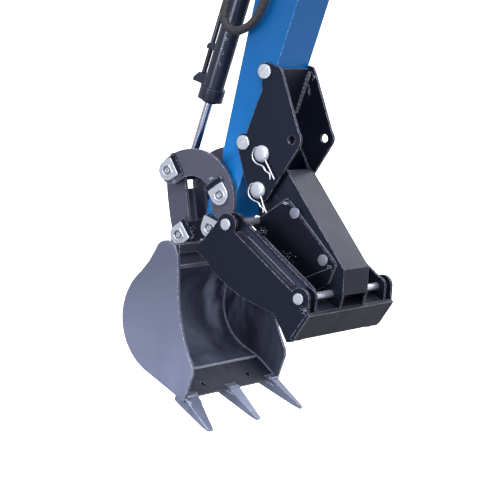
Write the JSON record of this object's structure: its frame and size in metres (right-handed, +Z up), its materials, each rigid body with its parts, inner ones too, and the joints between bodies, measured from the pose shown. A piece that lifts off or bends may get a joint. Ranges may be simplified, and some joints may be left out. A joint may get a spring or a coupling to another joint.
{
  "type": "excavator dipper arm with bucket and clamp thumb",
  "caption": "Blue dipper arm of a small excavator with its hydraulic bucket cylinder, curved bucket linkage, toothed digging bucket, wide black clamp thumb and a hanging hose.",
  "frame": {"origin": "centre of the boom pivot bore at the top of the arm", "axes": "X forward away from the machine, Y to the machine's left, Z up; the arm hangs down and slightly forward as on a machine at rest"},
  "size_m": [0.541, 0.4076, 1.5516],
  "materials": {
    "arm_blue": "gloss",
    "zinc_pin": "satin",
    "paint_black": "satin",
    "cylinder_black": "gloss",
    "rod_chrome": "polished",
    "link_grey": "satin",
    "bucket_steel": "matt",
    "cutting_steel": "matt",
    "hose_rubber": "matt"
  },
  "bodies": {
    "dipper": {"arm_box": "arm_blue", "boom_bush": "arm_blue", "crowd_lugs": "arm_blue", "cylinder_lugs": "arm_blue", "cylinder_pin": "zinc_pin", "bracket_plate_left": "paint_black", "bracket_plate_right": "paint_black", "bracket_cross_plate": "paint_black", "bracket_pins": "zinc_pin", "thumb_pivot_pin": "zinc_pin", "hose_clamp": "zinc_pin", "hose": "hose_rubber"},
    "cylinder_body": {"barrel": "cylinder_black", "gland": "cylinder_black", "base_eye": "cylinder_black", "port_block": "cylinder_black", "steel_pipe": "cylinder_black", "base_port": "zinc_pin"},
    "cylinder_rod": {"rod": "rod_chrome", "rod_eye": "cylinder_black"},
    "rocker": {"rocker_plate_left": "link_grey", "rocker_plate_right": "link_grey", "rocker_pin": "zinc_pin", "rod_pin": "zinc_pin", "rocker_retainers": "zinc_pin"},
    "link": {"bucket_link": "link_grey"},
    "bucket": {"bucket_shell": "bucket_steel", "bucket_side_left": "bucket_steel", "bucket_side_right": "bucket_steel", "bucket_top_bar": "bucket_steel", "bucket_lip": "cutting_steel", "tooth_left": "cutting_steel", "tooth_middle": "cutting_steel", "tooth_right": "cutting_steel", "bucket_ear_left": "bucket_steel", "bucket_ear_right": "bucket_steel", "bucket_pin": "zinc_pin", "link_pin": "zinc_pin", "bucket_retainers": "zinc_pin"},
    "thumb": {"thumb_channel": "paint_black", "thumb_gussets": "paint_black", "grip_plate": "paint_black", "tine_left": "paint_black", "tine_right": "paint_black", "tip_plate": "paint_black", "jaw_rods": "zinc_pin", "channel_bolts": "zinc_pin", "lock_pin": "zinc_pin"}
  },
  "joints": [
    {"name": "bucket_curl", "type": "hinge", "parent": "dipper", "child": "bucket", "pos_m": [0.32, 0, -0.88], "axis": [0, 1, 0], "range_deg": [-60, 40]},
    {"name": "thumb_fold", "type": "hinge", "parent": "dipper", "child": "thumb", "pos_m": [0.168, 0, -0.702], "axis": [0, 1, 0], "range_deg": [0, 120]},
    {"name": "rocker_swing", "type": "hinge", "parent": "dipper", "child": "rocker", "pos_m": [0.28, 0, -0.801], "axis": [0, 1, 0], "range_deg": [-40, 30]},
    {"name": "link_swing", "type": "hinge", "parent": "rocker", "child": "link", "pos_m": [0.429, 0, -0.747], "axis": [0, 1, 0], "range_deg": [-20, 25]},
    {"name": "cylinder_swing", "type": "hinge", "parent": "dipper", "child": "cylinder_body", "pos_m": [0.19, 0, -0.09], "axis": [0, 1, 0], "range_deg": [-5, 5]},
    {"name": "rod_slide", "type": "slide", "parent": "cylinder_body", "child": "cylinder_rod", "axis": [0.3419, 0, -0.9398], "range_m": [-0.1, 0.075]}
  ],
  "couplings": [
    {"joint": "rocker_swing", "follows": "bucket_curl", "ratio": 0.607},
    {"joint": "link_swing", "follows": "bucket_curl", "ratio": -0.322},
    {"joint": "rod_slide", "follows": "bucket_curl", "m_per_rad": 0.091},
    {"joint": "cylinder_swing", "follows": "bucket_curl", "ratio": -0.014}
  ]
}
